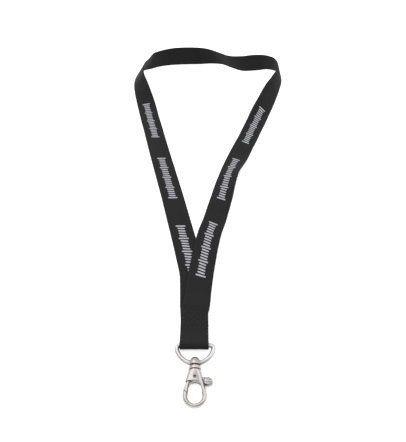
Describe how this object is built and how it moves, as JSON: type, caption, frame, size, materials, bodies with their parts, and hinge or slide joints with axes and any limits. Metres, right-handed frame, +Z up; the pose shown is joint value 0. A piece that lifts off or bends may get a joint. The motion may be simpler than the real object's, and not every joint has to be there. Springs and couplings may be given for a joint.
{
  "type": "neck lanyard",
  "caption": "Flat woven neck strap sewn into a loop round a D-ring, with a swivel snap hook on the ring.",
  "frame": {"origin": "middle of the box that the lanyard lies in, on the surface that it lies on", "axes": "+Y along the lanyard from the hook towards the neck, +Z up off the surface, +X to the thumb pad's side"},
  "size_m": [0.1706, 0.4282, 0.0312],
  "materials": {
    "black_strap": "woven polyester, matt",
    "black_thread": "polyester sewing thread",
    "plated_wire": "nickel-plated steel wire",
    "plated_casting": "nickel-plated zinc casting, softly polished",
    "dark_steel": "oiled steel"
  },
  "bodies": {
    "strap": {"neck_strap": "black_strap", "end_stitching": "black_thread"},
    "ring": {"d_ring": "plated_wire"},
    "eye": {"swivel_eye": "plated_casting"},
    "hook": {"hook_body": "plated_casting", "lever_rivet": "dark_steel", "lever_spring": "dark_steel"},
    "lever": {"trigger_lever": "plated_casting"}
  },
  "joints": [
    {"name": "ring_swing", "type": "hinge", "parent": "strap", "child": "ring", "pos_m": [-0.01114, -0.17186, 0.00416], "axis": [1, 0, 0], "range_deg": [-90, 90]},
    {"name": "eye_swing", "type": "hinge", "parent": "ring", "child": "eye", "pos_m": [-0.01114, -0.18486, 0.00416], "axis": [1, 0, 0], "range_deg": [-60, 60]},
    {"name": "hook_swivel", "type": "hinge", "parent": "eye", "child": "hook", "pos_m": [-0.01114, -0.18691, 0.00416], "axis": [0, 1, 0], "continuous": true},
    {"name": "lever_open", "type": "hinge", "parent": "hook", "child": "lever", "pos_m": [-0.01114, -0.19491, 0.00416], "axis": [0, 0, 1], "range_deg": [0, 26], "stiffness_Nm_per_rad": 0.04, "springref_deg": -20.05, "deforming": ["lever_spring"]}
  ]
}
